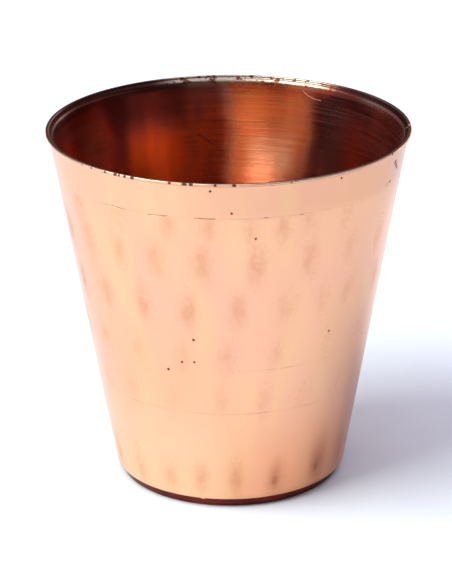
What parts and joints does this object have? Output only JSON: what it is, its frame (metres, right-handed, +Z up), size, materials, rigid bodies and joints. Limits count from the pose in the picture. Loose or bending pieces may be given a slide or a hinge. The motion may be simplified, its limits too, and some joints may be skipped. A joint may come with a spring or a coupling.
{
  "type": "hammered copper tumbler",
  "caption": "Small tapered drinking tumbler of hammered sheet copper, open at the top, with a burnished lip, a plain band above a turned line, and a narrower brazed-in base as a foot.",
  "frame": {"origin": "centre of the flat ring that the tumbler stands on", "axes": "+Z up along the tumbler's axis, towards the open mouth; +X points out through the side seam, and -Y is the front"},
  "size_m": [0.08, 0.08, 0.08],
  "materials": {
    "hammered_copper": "hammered and polished copper outside, turned and tarnished copper inside",
    "base_copper": "tarnished, lightly polished copper",
    "braze_metal": "dressed brazing brass"
  },
  "bodies": {
    "root": {"wall_shell": "hammered_copper", "side_seam": "braze_metal", "base_pan": "base_copper", "base_braze": "braze_metal"}
  },
  "joints": []
}
